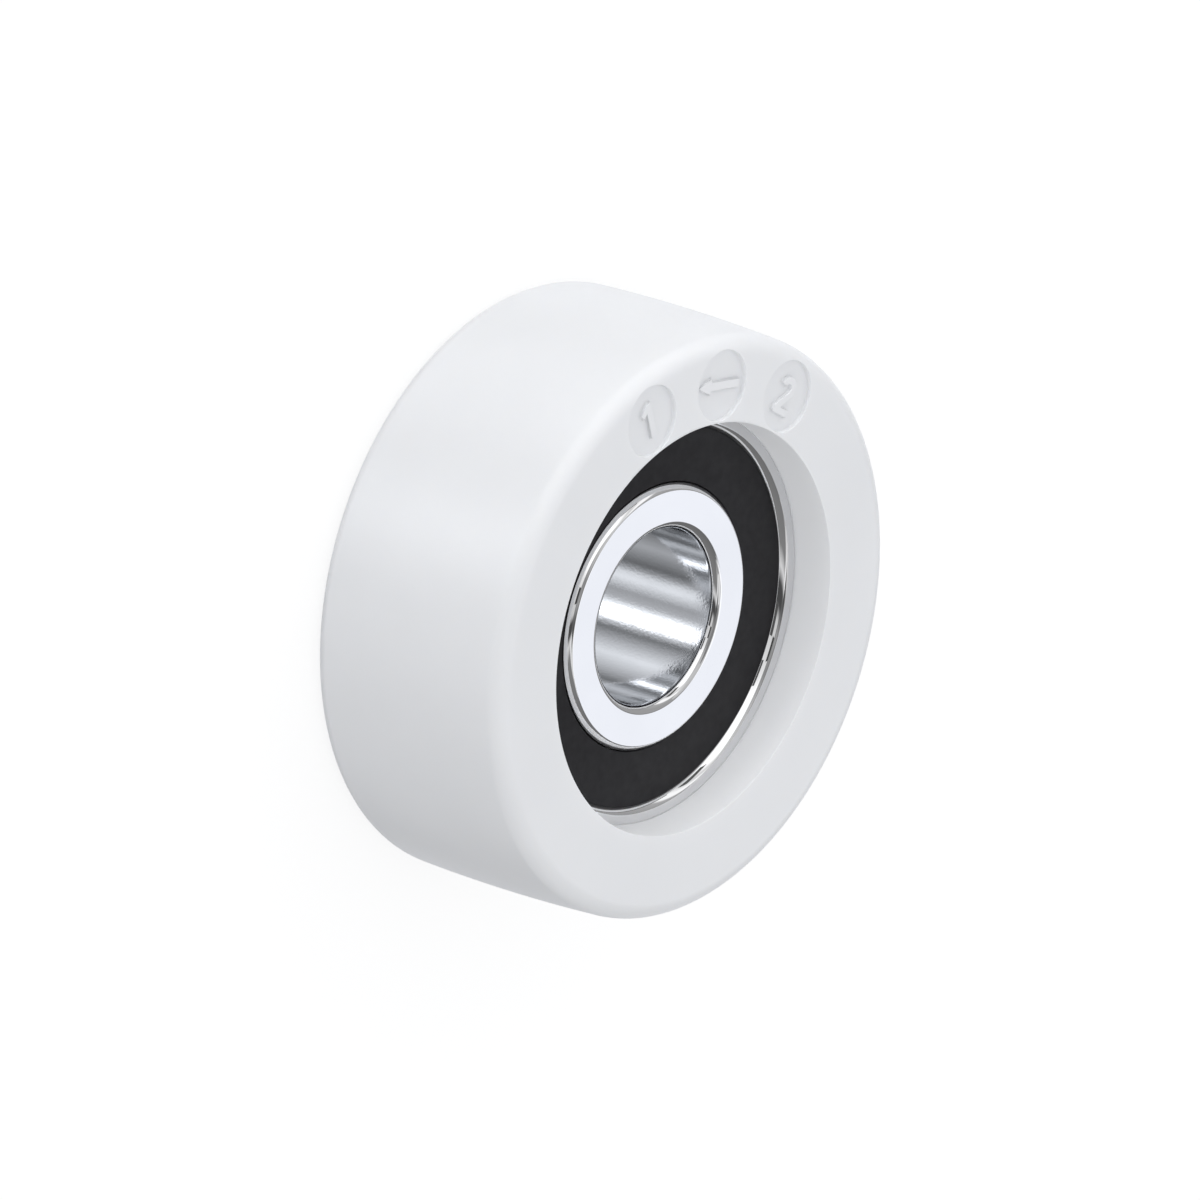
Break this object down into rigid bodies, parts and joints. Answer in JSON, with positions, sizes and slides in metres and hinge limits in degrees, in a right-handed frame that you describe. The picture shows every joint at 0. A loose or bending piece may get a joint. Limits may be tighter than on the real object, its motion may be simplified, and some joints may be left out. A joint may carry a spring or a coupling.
{
  "type": "guide roller",
  "caption": "Plain white guide roller: a thick plastic ring with a lightly crowned tread, moulded round a sealed ball bearing whose inner ring takes an axle.",
  "frame": {"origin": "centre of the axle bore at half the roller's width", "axes": "+Z along the axle bore, out of the face with the mould marks; +Y towards the middle mark"},
  "size_m": [0.05, 0.05, 0.02],
  "materials": {
    "polyamide": "satin moulded polyamide, natural white",
    "ring_steel": "ground and polished bearing steel, finely honed in the bore",
    "seal_rubber": "matt moulded nitrile rubber, black",
    "cage_steel": "pressed low-carbon sheet steel",
    "ball_steel": "lapped bearing steel"
  },
  "bodies": {
    "inner_ring": {"inner_ring": "ring_steel"},
    "roller": {"roller_body": "polyamide", "outer_ring": "ring_steel", "front_seal": "seal_rubber", "back_seal": "seal_rubber"},
    "cage": {"cage_front": "cage_steel", "cage_back": "cage_steel", "cage_rivets": "cage_steel"},
    "ball_1": {"ball_1": "ball_steel"},
    "ball_2": {"ball_2": "ball_steel"},
    "ball_3": {"ball_3": "ball_steel"},
    "ball_4": {"ball_4": "ball_steel"},
    "ball_5": {"ball_5": "ball_steel"},
    "ball_6": {"ball_6": "ball_steel"},
    "ball_7": {"ball_7": "ball_steel"},
    "ball_8": {"ball_8": "ball_steel"}
  },
  "joints": [
    {"name": "roller_spin", "type": "hinge", "parent": "inner_ring", "child": "roller", "pos_m": [0, 0, 0], "axis": [0, 0, 1], "continuous": true},
    {"name": "cage_spin", "type": "hinge", "parent": "inner_ring", "child": "cage", "pos_m": [0, 0, 0], "axis": [0, 0, 1], "continuous": true},
    {"name": "ball_1_spin", "type": "hinge", "parent": "cage", "child": "ball_1", "pos_m": [0.0125, 0, 0], "axis": [0, 0, 1], "continuous": true},
    {"name": "ball_2_spin", "type": "hinge", "parent": "cage", "child": "ball_2", "pos_m": [0.00884, 0.00884, 0], "axis": [0, 0, 1], "continuous": true},
    {"name": "ball_3_spin", "type": "hinge", "parent": "cage", "child": "ball_3", "pos_m": [0, 0.0125, 0], "axis": [0, 0, 1], "continuous": true},
    {"name": "ball_4_spin", "type": "hinge", "parent": "cage", "child": "ball_4", "pos_m": [-0.00884, 0.00884, 0], "axis": [0, 0, 1], "continuous": true},
    {"name": "ball_5_spin", "type": "hinge", "parent": "cage", "child": "ball_5", "pos_m": [-0.0125, 0, 0], "axis": [0, 0, 1], "continuous": true},
    {"name": "ball_6_spin", "type": "hinge", "parent": "cage", "child": "ball_6", "pos_m": [-0.00884, -0.00884, 0], "axis": [0, 0, 1], "continuous": true},
    {"name": "ball_7_spin", "type": "hinge", "parent": "cage", "child": "ball_7", "pos_m": [0, -0.0125, 0], "axis": [0, 0, 1], "continuous": true},
    {"name": "ball_8_spin", "type": "hinge", "parent": "cage", "child": "ball_8", "pos_m": [0.00884, -0.00884, 0], "axis": [0, 0, 1], "continuous": true}
  ],
  "couplings": [
    {"joint": "cage_spin", "follows": "roller_spin", "ratio": 0.619},
    {"joint": "ball_1_spin", "follows": "roller_spin", "ratio": 1.9818},
    {"joint": "ball_2_spin", "follows": "roller_spin", "ratio": 1.9818},
    {"joint": "ball_3_spin", "follows": "roller_spin", "ratio": 1.9818},
    {"joint": "ball_4_spin", "follows": "roller_spin", "ratio": 1.9818},
    {"joint": "ball_5_spin", "follows": "roller_spin", "ratio": 1.9818},
    {"joint": "ball_6_spin", "follows": "roller_spin", "ratio": 1.9818},
    {"joint": "ball_7_spin", "follows": "roller_spin", "ratio": 1.9818},
    {"joint": "ball_8_spin", "follows": "roller_spin", "ratio": 1.9818}
  ]
}
